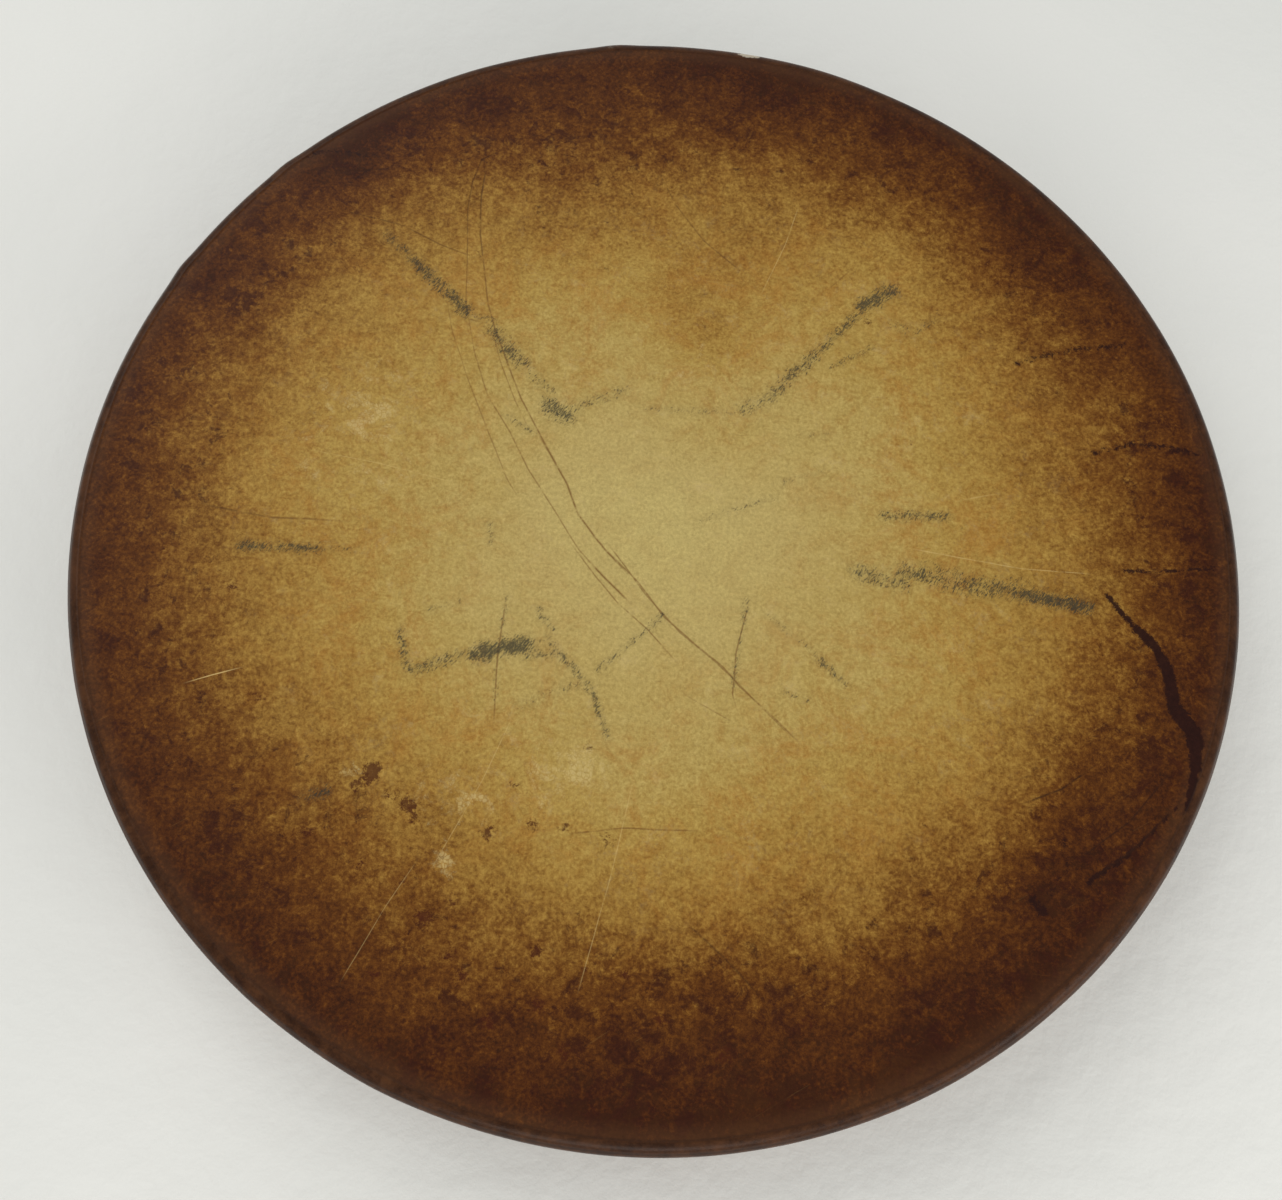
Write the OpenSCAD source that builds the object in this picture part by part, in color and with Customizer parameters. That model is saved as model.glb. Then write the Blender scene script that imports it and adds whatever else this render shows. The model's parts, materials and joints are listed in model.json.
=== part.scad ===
/* [Drum] */
// Outside diameter over the hide
drum_d = 430; // [400:5:460]
// Depth from the open back edge to the face of the hide
drum_h = 55; // [52:1:64]

/* [Hide] */
// Thickness of the hide
hide_t = 1.2; // [0.8:0.1:1.6]
// Outside radius of the shoulder where the hide turns down the side
shoulder_r = 6; // [5:0.5:8]
// Depth of the glued skirt, from the face of the hide to its cut edge
skirt_h = 24; // [18:1:28]

/* [Hoop] */
// Thickness of the bent wooden wall
wall_t = 10; // [9:0.5:12]
// Width of the flat, inside the shoulder, that carries the hide
bearing_w = 1; // [0.5:0.5:1.5]
// Depth of the bevel on the inner side of the bearing edge
bevel_h = 10; // [6:1:12]
// Rounding of the open back edge
back_r = 1.6; // [1:0.2:2]
// Length of the scarf joint along the hoop
scarf_l = 150; // [110:10:180]
// Thickness of the blunt tips of the lapped ends
scarf_tip_t = 0.8; // [0.6:0.1:1.2]
// Thickness of the glue line in the scarf joint
glue_t = 0.25; // [0.2:0.05:0.4]
// Direction of the middle of the scarf joint
scarf_az = 315; // [0:5:355]

/* [Scarf nails] */
// Number of nails through the scarf joint
nail_count = 5; // [3:1:7]
// Diameter of a nail's shank
nail_d = 1.5; // [1.2:0.1:2]
// Diameter of a nail's head
nail_head_d = 4.6; // [4:0.2:6]
// How far a nail's head stands out of the wood
nail_head_h = 0.7; // [0.4:0.1:0.9]
// Length of a nail's shank
nail_l = 8; // [6:0.5:8.5]

/* [Rings] */
// Number of rings round the inside of the hoop
ring_count = 28; // [20:1:32]
// Outside diameter of a ring
ring_d = 28; // [24:1:28]
// Diameter of a ring's wire
ring_wire_d = 2.4; // [2:0.2:2.6]
// Width of the slit where the two ends of a ring's wire meet
ring_slit = 0.4; // [0.2:0.1:0.6]
// Height of an eye's centre above the open back edge
eye_z = 33; // [32:1:36]
// Distance of an eye's centre from the wall
eye_reach = 6.5; // [6:0.5:9]
// Diameter of the hole in an eye
eye_hole_d = 3.6; // [3.2:0.2:4.4]
// Diameter of an eye's wire
eye_wire_d = 1.6; // [1.4:0.1:2]
// Depth of an eye's shank in the wood
eye_grip = 8; // [6:0.5:8.5]

/* [Hidden] */
$fn = 96;
ring_names = [for (i = [1:ring_count]) str("ring_", i < 10 ? "0" : "", i)];

cut = 1;
round_fn = 360;
wood_color = [0.36, 0.22, 0.13];
hide_color = [0.66, 0.49, 0.25];
iron_color = [0.27, 0.25, 0.24];
brass_color = [0.62, 0.49, 0.27];

hide_r = drum_d / 2;
hoop_r = hide_r - hide_t;
hoop_in_r = hoop_r - wall_t;
hoop_h = drum_h - hide_t;
hoop_edge_r = shoulder_r - hide_t;
bearing_r = hoop_r - hoop_edge_r - bearing_w;
skirt_z = drum_h - skirt_h;

// The scarf runs from near the inner face at one end to near the outer face at
// the other; its angle and its radius grow together, by equal steps.
scarf_mid_r = (hoop_in_r + hoop_r) / 2;
scarf_half_a = scarf_l / scarf_mid_r / 2 * 180 / PI;
scarf_steps = 12;
glue_a = glue_t / scarf_mid_r * 180 / PI;

nail_step_a = 1.2 * scarf_half_a / (nail_count - 1);
nail_low_z = 9;
nail_high_z = 23;

ring_r = (ring_d - ring_wire_d) / 2;
eye_r = (eye_hole_d + eye_wire_d) / 2;
eye_at_r = hoop_in_r - eye_reach;
eye_shank_d = 1.5 * eye_wire_d;
eye_collar_d = 2.6 * eye_wire_d;
eye_collar_h = 0.8;
ring_play = 0.12;
hang_z = eye_z - (eye_hole_d - ring_wire_d) / 2 + ring_play;
ring_step_a = 360 / ring_count;
first_ring_a = ring_step_a / 2;
slit_first_a = 70;
slit_turn_a = 97;
slit_span_a = 220;

// Section of a disc of radius r and height h with a rounded upper edge
module rounded_disc_section(r, h, edge_r) {
    square([r, h - edge_r]);
    square([r - edge_r, h]);
    translate([r - edge_r, h - edge_r]) circle(r = edge_r);
}

// Section of the hoop's wall, with its bearing edge at the top
module wall_section() {
    difference() {
        rounded_disc_section(hoop_r, hoop_h, hoop_edge_r);
        translate([-cut, -cut]) square([hoop_in_r + cut, hoop_h + 2 * cut]);
        polygon([
            [hoop_in_r - cut, hoop_h - bevel_h],
            [hoop_in_r, hoop_h - bevel_h],
            [bearing_r, hoop_h],
            [bearing_r, hoop_h + cut],
            [hoop_in_r - cut, hoop_h + cut]
        ]);
        back_corner(hoop_in_r, 1);
        back_corner(hoop_r, -1);
    }
}

// What rounding takes off one corner of the back edge; side is 1 inside, -1 outside
module back_corner(at_r, side) {
    difference() {
        translate([at_r - (side > 0 ? cut : back_r), -cut]) square([back_r + cut, back_r + cut]);
        translate([at_r + side * back_r, back_r]) circle(r = back_r);
    }
}

function polar(r, a) = [r * cos(a), r * sin(a)];

// One side of the glue line, shift away from its middle, between two angles
function scarf_side(shift, from_a, to_a) = [
    for (i = [0:scarf_steps])
        let (t = i / scarf_steps)
        polar(
            hoop_in_r + scarf_tip_t + t * (wall_t - 2 * scarf_tip_t) + shift,
            from_a + t * (to_a - from_a)
        )
];

function reversed(points) = [for (i = [len(points) - 1:-1:0]) points[i]];

// The glue line of the scarf joint, through the whole depth of the hoop
module scarf_cut() {
    inner_side = scarf_side(-glue_t / 2, glue_a - scarf_half_a, scarf_half_a);
    outer_side = scarf_side(glue_t / 2, -scarf_half_a, scarf_half_a - glue_a);
    rotate(scarf_az)
        translate([0, 0, -cut])
            linear_extrude(drum_h + 2 * cut)
                polygon(concat(
                    [polar(hoop_in_r - cut, -scarf_half_a)],
                    [polar(hoop_in_r - cut, glue_a - scarf_half_a)],
                    inner_side,
                    [polar(hoop_r + cut, scarf_half_a)],
                    [polar(hoop_r + cut, scarf_half_a - glue_a)],
                    reversed(outer_side)
                ));
}

// One strip of wood bent to a circle, its tapered ends lapped and glued
module hoop() {
    color(wood_color)
        difference() {
            rotate_extrude($fn = round_fn) wall_section();
            scarf_cut();
        }
}

// The hide: the flat head, its rounded shoulder and the skirt glued to the side
module hide_head() {
    color(hide_color)
        rotate_extrude($fn = round_fn)
            difference() {
                rounded_disc_section(hide_r, drum_h, shoulder_r);
                rounded_disc_section(hoop_r, hoop_h, hoop_edge_r);
                translate([-cut, -cut]) square([hide_r + 2 * cut, skirt_z + cut]);
            }
}

// A nail driven into the outer face, its head towards +X
module nail() {
    rotate([0, 90, 0]) {
        translate([0, 0, -nail_l]) cylinder(d = nail_d, h = nail_l, $fn = 24);
        cylinder(d1 = nail_head_d, d2 = 0.6 * nail_head_d, h = nail_head_h, $fn = 32);
    }
}

// Nails in two staggered rows along the scarf joint
module scarf_nails() {
    color(iron_color)
        for (i = [0:nail_count - 1])
            rotate(scarf_az + (i - (nail_count - 1) / 2) * nail_step_a)
                translate([hoop_r, 0, i % 2 == 0 ? nail_high_z : nail_low_z])
                    nail();
}

// An eye of wire on a shank, centred on the origin, with the wall towards +X
module eye_pin() {
    rotate([90, 0, 0]) rotate_extrude() translate([eye_r, 0]) circle(d = eye_wire_d, $fn = 32);
    rotate([0, 90, 0]) {
        translate([0, 0, eye_r]) cylinder(d = eye_shank_d, h = eye_reach + eye_grip - eye_r, $fn = 32);
        translate([0, 0, eye_reach - eye_collar_h])
            cylinder(d = eye_collar_d, h = eye_collar_h, $fn = 32);
    }
}

// One eye for each ring
module eye_pins() {
    color(iron_color)
        for (i = [0:ring_count - 1])
            rotate(first_ring_a + i * ring_step_a)
                translate([eye_at_r, 0, eye_z])
                    eye_pin();
}

// A ring of bent wire hanging from its top, with a slit at slit_a from the top
module ring(slit_a) {
    translate([0, 0, -ring_r])
        rotate([90, 0, 90])
            difference() {
                rotate_extrude() translate([ring_r, 0]) circle(d = ring_wire_d, $fn = 32);
                rotate(90 + slit_a)
                    translate([0, -ring_slit / 2, -ring_wire_d])
                        cube([ring_d, ring_slit, 2 * ring_wire_d]);
            }
}

// Ring number i, in its place; each has its slit at a different angle
module placed_ring(i) {
    color(brass_color)
        rotate(first_ring_a + i * ring_step_a)
            translate([eye_at_r, 0, hang_z])
                ring(slit_first_a + (i * slit_turn_a) % slit_span_a);
}

hoop();
hide_head();
eye_pins();
scarf_nails();
for (i = [0:ring_count - 1]) placed_ring(i);
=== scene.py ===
"""A ringed frame drum lying head up on a pale cloth.

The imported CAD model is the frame. The hide, the hoop, the rings, their eyes and
the nails are built here as detailed meshes that stand for the CAD nodes.
Lengths are in metres. Marks on the head are placed in hundredths of the drum's radius.
"""

import json
import math
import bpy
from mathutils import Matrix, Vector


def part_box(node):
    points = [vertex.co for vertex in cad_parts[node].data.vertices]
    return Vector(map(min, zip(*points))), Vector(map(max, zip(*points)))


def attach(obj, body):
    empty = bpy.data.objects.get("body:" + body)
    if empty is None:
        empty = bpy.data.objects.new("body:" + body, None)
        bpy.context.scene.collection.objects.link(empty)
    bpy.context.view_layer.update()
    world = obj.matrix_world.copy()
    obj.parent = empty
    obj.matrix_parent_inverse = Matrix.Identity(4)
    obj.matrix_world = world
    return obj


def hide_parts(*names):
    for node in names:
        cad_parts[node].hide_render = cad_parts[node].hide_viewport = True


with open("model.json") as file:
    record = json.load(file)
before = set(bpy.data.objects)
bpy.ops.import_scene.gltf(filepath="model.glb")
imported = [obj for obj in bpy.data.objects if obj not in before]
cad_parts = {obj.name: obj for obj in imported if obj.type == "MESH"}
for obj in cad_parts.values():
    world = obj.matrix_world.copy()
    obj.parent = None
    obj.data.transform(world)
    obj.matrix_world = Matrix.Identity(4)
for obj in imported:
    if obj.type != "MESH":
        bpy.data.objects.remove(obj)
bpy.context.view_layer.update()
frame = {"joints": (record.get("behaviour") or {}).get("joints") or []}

from types import SimpleNamespace

import bpy
import numpy as np
from mathutils import Matrix, Vector, noise

# ---- sizes

MM = 0.001
TAU = 2 * math.pi

hide_low, hide_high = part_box("hide_head")
hoop_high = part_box("hoop")[1]
DRUM_R = round(max(hide_high.x, hide_high.y), 3)
DRUM_H = hide_high.z
SKIRT_Z = hide_low.z
HIDE_T = DRUM_H - hoop_high.z
HOOP_R = DRUM_R - HIDE_T
WALL_T = 10 * MM
HOOP_IN_R = HOOP_R - WALL_T
SHOULDER_R = 6 * MM
HEAD_R = DRUM_R - SHOULDER_R
CREASE_R = HEAD_R + 0.1 * MM
BACK_R = 1.6 * MM
BEVEL_H = 10 * MM
BEARING_W = 1 * MM
SCARF_AZ = math.radians(315)
SCARF_L = 150 * MM
SCARF_HALF = SCARF_L / (HOOP_R - WALL_T / 2) / 2
SCARF_TIP_T = 0.8 * MM

SEGMENTS = 720  # columns round the drum
MARK_UNIT = DRUM_R / 100  # the unit of the places of marks on the head
LINE_LAYERS = 6  # hairlines of one layer lie at least twice LINE_REACH apart
LINE_REACH = 4 * MM
LINE_FADE = 8 * MM

# ---- numeric helpers


def smooth(low, high, x):
    """0 below low, 1 above high, and a smooth step between."""
    t = np.clip((x - low) / (high - low), 0, 1)
    return t * t * (3 - 2 * t)


def wobble(points, size, seed=0.0, octaves=3):
    """Smooth noise of about -1 to 1 at each point; size is the width of its features."""
    shift = Vector((seed * 17.3, seed * 5.1, seed * 9.7))
    return np.array([noise.fractal(Vector(p) / size + shift, 1.0, 2.0, octaves) for p in points])


def ring_noise(angles, waves, seed=0.0):
    """Noise round a circle, with about that many waves in a turn."""
    r = waves / TAU
    return np.array([
        noise.fractal(Vector((r * math.cos(a) + seed * 7.7, r * math.sin(a), seed * 3.1)), 1.0, 2.0, 2)
        for a in angles
    ])


def line_distance(xy, a, b):
    """Distance of each point in the plane from the segment a to b."""
    a, b = np.array(a), np.array(b)
    along = b - a
    t = np.clip(((xy - a) @ along) / (along @ along), 0, 1)
    return np.linalg.norm(xy - a - t[:, None] * along, axis=1)


def stroke_field(xy, strokes):
    """How strongly strokes cover each point, xy in MARK_UNITs: the strongest stroke there."""
    total = np.zeros(len(xy))
    for width_mm, strength, *points in strokes:
        width = width_mm * MM / MARK_UNIT
        for a, b in zip(points, points[1:]):
            near = strength * np.exp(-((line_distance(xy, a, b) / width) ** 2))
            total = np.maximum(total, near)
    return total


def blob_field(xy, blobs):
    """Sum of soft round blobs, each (x, y, radius, amount), in the unit of xy."""
    total = np.zeros(len(xy))
    for x, y, radius, amount in blobs:
        total += amount * np.exp(-(((xy[:, 0] - x) ** 2 + (xy[:, 1] - y) ** 2) / radius**2))
    return total


def line_layer(xy, lines):
    """For hairlines that lie apart: distance across the nearest, in widths, and its strength."""
    nearest = np.full(len(xy), np.inf)
    across, on = np.full(len(xy), 9.0), np.zeros(len(xy))
    for width_mm, strength, *points in lines:
        points = np.array(points) * MARK_UNIT
        lengths = np.linalg.norm(np.diff(points, axis=0), axis=1)
        travelled = 0.0
        for a, b, length in zip(points, points[1:], lengths):
            along = (b - a) / length
            run = (xy - a) @ along
            side = (xy - a) @ np.array([-along[1], along[0]])
            away = np.hypot(side, run - np.clip(run, 0, length))
            to_end = np.minimum(travelled + run, lengths.sum() - travelled - run)
            closer = away < nearest
            nearest = np.where(closer, away, nearest)
            across = np.where(closer, side / (width_mm * MM), across)
            fade = smooth(-0.5 * MM, LINE_FADE, to_end) * smooth(LINE_REACH, LINE_REACH / 3, away)
            on = np.where(closer, strength * fade, on)
            travelled += length
    return across, on


# ---- mesh helpers


def mesh_piece(name, points, faces, face_material=None, smooth_faces=True):
    """A mesh object from arrays of points and faces."""
    mesh = bpy.data.meshes.new(name)
    mesh.from_pydata([tuple(p) for p in points], [], [tuple(int(i) for i in f) for f in faces])
    mesh.validate()
    if smooth_faces:
        mesh.polygons.foreach_set("use_smooth", [True] * len(mesh.polygons))
    if face_material is not None:
        mesh.polygons.foreach_set("material_index", face_material)
    mesh.update()
    piece = bpy.data.objects.new(name, mesh)
    bpy.context.scene.collection.objects.link(piece)
    return piece


def point_value(piece, name, values):
    """Stores one number for each point of a piece, for its material to read."""
    layer = piece.data.attributes.new(name, "FLOAT", "POINT")
    layer.data.foreach_set("value", np.asarray(values, np.float32))


def loop_faces(first_row, second_row, count):
    """Quads between two closed rows of points that start at these indices."""
    return [
        (first_row + j, first_row + (j + 1) % count, second_row + (j + 1) % count, second_row + j)
        for j in range(count)
    ]


def tube(path, radius, sides, closed=False):
    """Points and faces of a round wire along a path, with flat ends if it is open."""
    path = np.asarray(path, float)
    n = len(path)
    if closed:
        tangent = np.roll(path, -1, 0) - np.roll(path, 1, 0)
    else:
        tangent = np.gradient(path, axis=0)
    tangent /= np.linalg.norm(tangent, axis=1)[:, None]
    side = np.cross(tangent[0], (0.3, 0.5, 0.81))
    points, faces = [], []
    for i in range(n):
        side = side - tangent[i] * (side @ tangent[i])
        side /= np.linalg.norm(side)
        up = np.cross(tangent[i], side)
        r = radius[i] if np.ndim(radius) else radius
        for k in range(sides):
            a = TAU * k / sides
            points.append(path[i] + r * (math.cos(a) * side + math.sin(a) * up))
    for i in range(n if closed else n - 1):
        faces += loop_faces(i * sides, (i + 1) % n * sides, sides)
    if not closed:
        faces.append(tuple(reversed(range(sides))))
        faces.append(tuple(range((n - 1) * sides, n * sides)))
    return np.array(points), faces


def joined(parts):
    """Several (points, faces) as one."""
    points, faces, start = [], [], 0
    for p, f in parts:
        points.append(p)
        faces += [tuple(i + start for i in face) for face in f]
        start += len(p)
    return np.concatenate(points), faces


# ---- node helpers


def srgb(r, g, b):
    """A linear colour from 0 to 255 display values."""
    def lin(c):
        c /= 255
        return c / 12.92 if c <= 0.04045 else ((c + 0.055) / 1.055) ** 2.4
    return (lin(r), lin(g), lin(b), 1.0)


class Shading:
    """A material's nodes: one Principled shader, and the methods that write what feeds it.

    The functions below call it s.
    """

    def __init__(self, name, **constants):
        self.material = bpy.data.materials.new(name)
        self.material.use_nodes = True
        self.tree = self.material.node_tree
        self.tree.nodes.clear()
        self.shader = self.node("BsdfPrincipled", constants)
        output = self.node("OutputMaterial")
        self.tree.links.new(self.shader.outputs["BSDF"], output.inputs["Surface"])

    def node(self, kind, inputs=None, **settings):
        """A shader node with its settings, and its inputs linked or set."""
        n = self.tree.nodes.new("ShaderNode" + kind)
        for key, value in settings.items():
            setattr(n, key, value)
        for key, value in (inputs or {}).items():
            if isinstance(value, bpy.types.NodeSocket):
                self.tree.links.new(value, n.inputs[key])
            else:
                n.inputs[key].default_value = value
        return n

    def calc(self, operation, *values, clamp=False):
        n = self.node("Math", dict(enumerate(values)), operation=operation)
        n.use_clamp = clamp
        return n.outputs[0]

    def times(self, a, b):
        return self.calc("MULTIPLY", a, b)

    def times_plus(self, a, b, c):
        """a times b, plus c."""
        return self.calc("MULTIPLY_ADD", a, b, c)

    def vector_calc(self, operation, a, b):
        return self.node("VectorMath", {0: a, 1: b}, operation=operation).outputs["Vector"]

    def stretched(self, vector, by):
        return self.vector_calc("MULTIPLY", vector, by)

    def scaled(self, vector, by):
        return self.node("VectorMath", {0: vector, "Scale": by}, operation="SCALE").outputs["Vector"]

    def turned(self, vector, angle):
        """The vector turned about Z."""
        n = self.node("VectorRotate", {"Vector": vector, "Angle": angle}, rotation_type="Z_AXIS")
        return n.outputs[0]

    def from_axis(self, at):
        """Distance from the drum's axis."""
        flat = self.stretched(at, (1, 1, 0))
        return self.node("VectorMath", {0: flat}, operation="LENGTH").outputs["Value"]

    def cloud(self, at, scale, detail=4.0, roughness=0.55, distortion=0.0):
        """Noise centred on 0, about -1 to 1."""
        n = self.node("TexNoise", {
            "Vector": at, "Scale": scale, "Detail": detail, "Roughness": roughness, "Distortion": distortion,
        })
        return self.times_plus(n.outputs["Fac"], 4.0, -2.0)

    def step(self, value, low, high, to_low=0.0, to_high=1.0):
        n = self.node("MapRange", {
            "Value": value, "From Min": low, "From Max": high, "To Min": to_low, "To Max": to_high,
        }, interpolation_type="SMOOTHSTEP")
        return n.outputs["Result"]

    def color_ramp(self, value, stops):
        """The colour at a value, from stops of (position, 0 to 255 colour)."""
        n = self.node("ValToRGB", {"Fac": value})
        ramp = n.color_ramp
        while len(ramp.elements) < len(stops):
            ramp.elements.new(0.5)
        for element, (position, color) in zip(ramp.elements, stops):
            element.position = position
            element.color = srgb(*color)
        return n.outputs["Color"]

    def mixed(self, amount, a, b):
        return self.node("Mix", {0: amount, 6: a, 7: b}, data_type="RGBA").outputs[2]

    def painted(self, color, paint, amount, strength=1):
        """The colour under a coat of paint, a 0 to 255 colour, as thick as amount times strength."""
        if strength != 1:
            amount = self.times(amount, strength)
        return self.mixed(amount, color, srgb(*paint))

    def attribute(self, name):
        return self.node("Attribute", attribute_name=name).outputs["Fac"]

    def place_in_mm(self):
        return self.scaled(self.node("TexCoord").outputs["Object"], 1 / MM)

    def bumped(self, height, strength, distance):
        n = self.node("Bump", {"Height": height, "Strength": strength, "Distance": distance})
        self.tree.links.new(n.outputs["Normal"], self.shader.inputs["Normal"])

    def plug(self, color, roughness):
        self.tree.links.new(color, self.shader.inputs["Base Color"])
        self.tree.links.new(roughness, self.shader.inputs["Roughness"])


# ---- marks on the head

# How much sooner, or later, the dark border starts, every 30 degrees from +X.
BORDER_SHIFT = (-0.015, 0.02, 0.0, 0.04, 0.0, -0.05, -0.045, 0.0, 0.035, 0.04, 0.05, 0.0)

# Dark and pale patches of the stain: x, y, radius, amount.
STAIN_PATCHES = (
    (-66, 68, 10, 0.12), (-80, 38, 8, 0.05), (62, 70, 12, 0.05), (10, 90, 14, 0.03),
    (66, -55, 3.5, 0.12), (60, -66, 10, 0.03), (86, -30, 7, 0.01), (80, 30, 10, -0.05),
    (10, 52, 12, 0.06), (-20, 62, 14, 0.05), (-55, 30, 16, 0.04), (2, 34, 11, 0.12),
    (10, 15, 8, 0.1), (2, 48, 8, 0.05), (6, 36, 6, 0.1), (-2, 42, 5, 0.08), (74, -36, 7, 0.05),
    (70, -48, 6, 0.06), (35, 52, 8, -0.04), (-30, -20, 12, -0.05), (10, -40, 16, -0.05),
    (45, -26, 13, -0.06), (47, -81, 9, 0.06), (24, -90, 9, 0.07), (37, -64, 10, -0.04),
    (0, 15, 7, 0.08), (-15, 26, 7, 0.09), (-30, -52, 9, 0.06), (-30, 52, 10, 0.04),
    (0, -46, 10, -0.04), (-16, 0, 7, -0.07), (-65, 0, 9, -0.03),
)

# Soot-grey smudges: width in mm, strength, then the points of the stroke.
SMUDGES = (
    (3.0, 0.55, (-56, 50), (-50, 45)),
    (3.4, 0.85, (-50, 45), (-45, 41), (-39, 36)),
    (1.6, 0.6, (-41, 35.5), (-34, 35)),
    (4.0, 0.75, (-34, 33), (-28, 27)),
    (3.4, 0.45, (-28, 27), (-22, 22)),
    (4.6, 0.9, (-22, 19.5), (-19, 18)),
    (3.0, 0.5, (-19, 19), (-13, 22), (-9, 24)),
    (1.8, 0.6, (-29, 16.5), (-24, 14)),
    (1.8, 0.42, (-5, 21), (8, 22), (13, 22.5)),
    (3.6, 0.62, (12, 23), (17, 26)),
    (3.6, 0.7, (17, 27), (24, 35)),
    (2.8, 0.72, (24, 35), (31, 44)),
    (4.0, 0.95, (32, 46), (37, 50)),
    (1.8, 0.55, (27, 33), (34, 38)),
    (3.2, 0.42, (37, 43), (42, 42), (46, 46)),
    (2.6, 0.75, (38, 6), (44, 6.5), (49, 7)),
    (4.4, 0.7, (34, -5), (42, -6)),
    (5.0, 0.72, (42, -4), (50, -4)),
    (5.0, 0.72, (50, -5), (62, -5)),
    (3.6, 0.95, (62, -5.5), (73, -6.5)),
    (2.4, 0.8, (-70, -12.5), (-63, -12), (-57, -11.5)),
    (1.6, 0.45, (-57, -11.5), (-51, -11)),
    (2.0, 0.75, (-41, -24), (-39, -30)),
    (3.0, 0.7, (-38, -30.5), (-35, -29), (-31, -27)),
    (4.2, 1.0, (-28, -26.5), (-24, -25), (-20, -24)),
    (2.0, 0.65, (-20, -26), (-15, -25), (-12, -27)),
    (1.8, 0.65, (-19, -18), (-16, -21)),
    (1.8, 0.7, (-17, -22.5), (-12, -27), (-8, -31), (-5, -38)),
    (1.6, 0.6, (2, -16), (-5, -24), (-8, -27)),
    (2.6, 0.4, (-8, -29), (-14, -31), (-20, -34)),
    (1.5, 0.42, (19, -14), (24, -17.5), (28.5, -20.5)),
    (1.9, 0.72, (28.5, -21), (33, -24.5)),
    (1.4, 0.6, (15.5, -12), (15, -20), (14.5, -27)),
    (1.2, 0.6, (-24.5, -16), (-24.5, -25), (-24, -34)),
    (1.8, 0.55, (-29, -3.5), (-28.5, -7)),
    (2.0, 0.42, (-37, -20), (-32, -18)),
    (1.6, 0.45, (6, 1), (12, 4), (19, 7)),
    (1.6, 0.35, (20, 10), (27, 13)),
    (2.0, 0.45, (23, -27), (27, -28)),
    (3.0, 0.6, (-52, -53), (-48, -51.5)),
    (2.0, 0.3, (22, 19), (28, 20)),
)

# Small dark red-brown blots: x, y, radius, amount.
BLOTS = (
    (-42, -48, 1.5, 1.0), (-44, -50, 1, 0.8), (-35, -52, 1.4, 0.9), (-34, -54, 1, 0.6),
    (-22, -55, 1.2, 0.8), (-19, -47, 1, 0.4), (-30, -69, 1.3, 0.9), (-34, -64, 0.8, 0.7),
    (-25, -74, 1, 0.7), (-12, -72, 1, 0.9), (2, -74, 1, 0.6), (-4, -74, 0.8, 0.5),
    (8, -80, 1.2, 0.7), (-2, -34, 0.8, 0.4), (-10, -53, 1, 0.5), (4, 38, 0.8, 0.3),
    (42, 20, 0.6, 0.4), (33, 43, 0.6, 0.8), (-60, 42, 1, 0.5), (-3, -54, 1.2, 0.5),
    (-18, -83, 1.2, 0.8), (-41, -47, 0.9, 0.7), (-38, -51, 1, 0.7), (-26, -66, 1.1, 0.7),
    (-23, -77, 1.2, 0.8), (-15, -53, 0.9, 0.8), (-41, -62, 1.1, 0.6), (-50, -58, 1.2, 0.5),
    (-36, -78, 1, 0.7), (-8, -40, 0.8, 0.7), (-11, -80, 1.3, 0.7), (-6, -86, 1.4, 0.7),
    (18, -84, 1.4, 0.6), (30, -78, 1.2, 0.5), (45, -70, 1.2, 0.5), (-62, -38, 1.2, 0.5),
    (-70, -20, 1.2, 0.5),
)

# Patches of fine pale flecks: x, y, radius, amount.
PALE_PATCHES = (
    (-53, 16, 9, 1.0), (-48, 5, 6, 0.6), (-12, -45, 7, 0.8), (-7, -42, 5, 0.5), (-30, -50, 7, 0.7),
    (-28, -60.5, 2.4, 1.2), (-45, -47.5, 2.2, 0.9), (-24, -50, 3, 0.8), (-62, 4, 6, 0.5),
    (-30, -12, 8, 0.4), (2, 30, 10, 0.5),
)

# Places where the rim's crest is painted pale: worn places, and a painted highlight at 318 degrees, lower
# right: direction in degrees, half-width, amount.
RIM_WEAR_AND_HIGHLIGHT = (
    (86.0, 1.3, 1.0),
    (101.5, 1.0, 0.4),
    (92.0, 2.0, 0.2),
    (141.0, 1.2, 0.2),
    # A painted highlight on the crest at the lower right, not wear.
    (318.0, 9.0, 0.12),
)

# Small lumps in the outline of the rim: direction in degrees, half-width, height.
RIM_LUMPS = (
    (101.0, 2.2, 0.7 * MM),
    (141.0, 1.8, 0.6 * MM),
    (157.0, 1.6, 0.6 * MM),
    (78.0, 5.0, 0.3 * MM),
    (250.0, 4.0, 0.3 * MM),
)

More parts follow.
